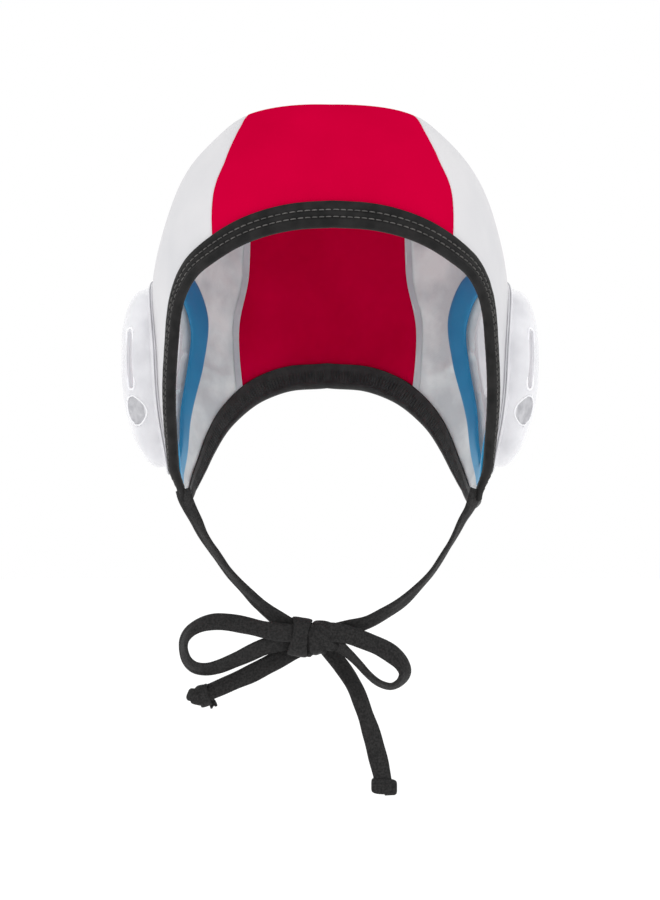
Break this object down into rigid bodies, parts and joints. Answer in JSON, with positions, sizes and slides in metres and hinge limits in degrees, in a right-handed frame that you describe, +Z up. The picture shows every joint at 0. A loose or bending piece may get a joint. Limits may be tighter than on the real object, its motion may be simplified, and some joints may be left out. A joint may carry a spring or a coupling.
{
  "type": "water polo cap",
  "caption": "Three-panel cloth swim-sport cap with clear domed ear guards over soft blue rings, bound edges and tape ties in a bow.",
  "frame": {"origin": "where the crown of a head touches the inside of the cap, on its middle plane", "axes": "+X to the right as seen from the front, the face opening towards -Y, +Z up"},
  "size_m": [0.1966, 0.1896, 0.3198],
  "materials": {
    "red_cloth": "smooth stretch knit with a soft sheen",
    "white_cloth": "smooth stretch knit with a soft sheen",
    "black_binding": "matt folded binding with two rows of stitches",
    "black_elastic": "matt ribbed elastic",
    "black_tape": "matt woven tape",
    "blue_ring": "satin",
    "clear_guard": "frosted clear"
  },
  "bodies": {
    "root": {"centre_panel": "red_cloth", "side_panel_left": "white_cloth", "side_panel_right": "white_cloth", "face_binding": "black_binding", "nape_binding": "black_elastic", "ear_ring_left": "blue_ring", "ear_ring_right": "blue_ring", "ear_guard_left": "clear_guard", "ear_guard_right": "clear_guard", "tie_left": "black_tape", "tie_right": "black_tape", "bow_knot": "black_tape", "bow_loop_left": "black_tape", "bow_loop_right": "black_tape", "tail_left": "black_tape", "tail_right": "black_tape", "tail_knot_left": "black_tape", "tail_fold_right": "black_tape"}
  },
  "joints": []
}
